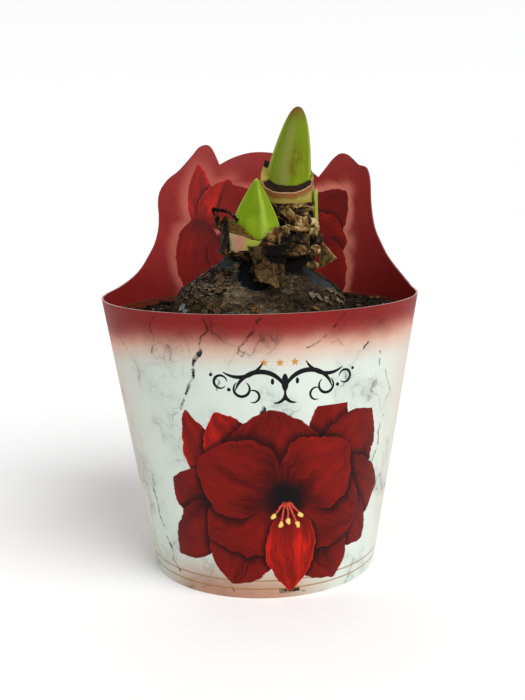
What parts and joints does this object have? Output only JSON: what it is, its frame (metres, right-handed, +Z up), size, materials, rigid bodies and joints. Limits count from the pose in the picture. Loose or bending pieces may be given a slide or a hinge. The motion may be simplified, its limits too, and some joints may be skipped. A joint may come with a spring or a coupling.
{
  "type": "potted amaryllis bulb",
  "caption": "Amaryllis bulb with a tall pointed flower bud and a second shoot, a third out of the soil of a plastic pot, in a conical printed card sleeve with a raised, shaped back.",
  "frame": {"origin": "on the pot's axis at the surface that the pot and the sleeve stand on", "axes": "+Z up along the pot's axis, +Y towards the sleeve's raised back, so that the plant is looked at from -Y"},
  "size_m": [0.144, 0.1543, 0.2098],
  "materials": {
    "printed_card": "satin printed card",
    "terracotta_plastic": "moulded plastic, slightly glossy",
    "peat": "moist crumbs",
    "bulb_tunic": "dry, wrinkled and papery",
    "dry_scale": "dry and crumpled",
    "leaf_base_pale": "fresh, slightly waxy",
    "leaf_base_blush": "fresh, slightly waxy",
    "bud_green": "fresh, waxy, with fine lengthwise veins"
  },
  "bodies": {
    "root": {"sleeve": "printed_card", "nursery_pot": "terracotta_plastic", "soil": "peat", "bulb": "bulb_tunic", "neck_scales": "dry_scale", "dry_leaf_base": "dry_scale", "inner_leaf_base": "leaf_base_pale", "side_leaf_strip": "leaf_base_pale", "second_leaf_base": "leaf_base_blush", "flower_bud": "bud_green", "second_bud": "bud_green"}
  },
  "joints": []
}
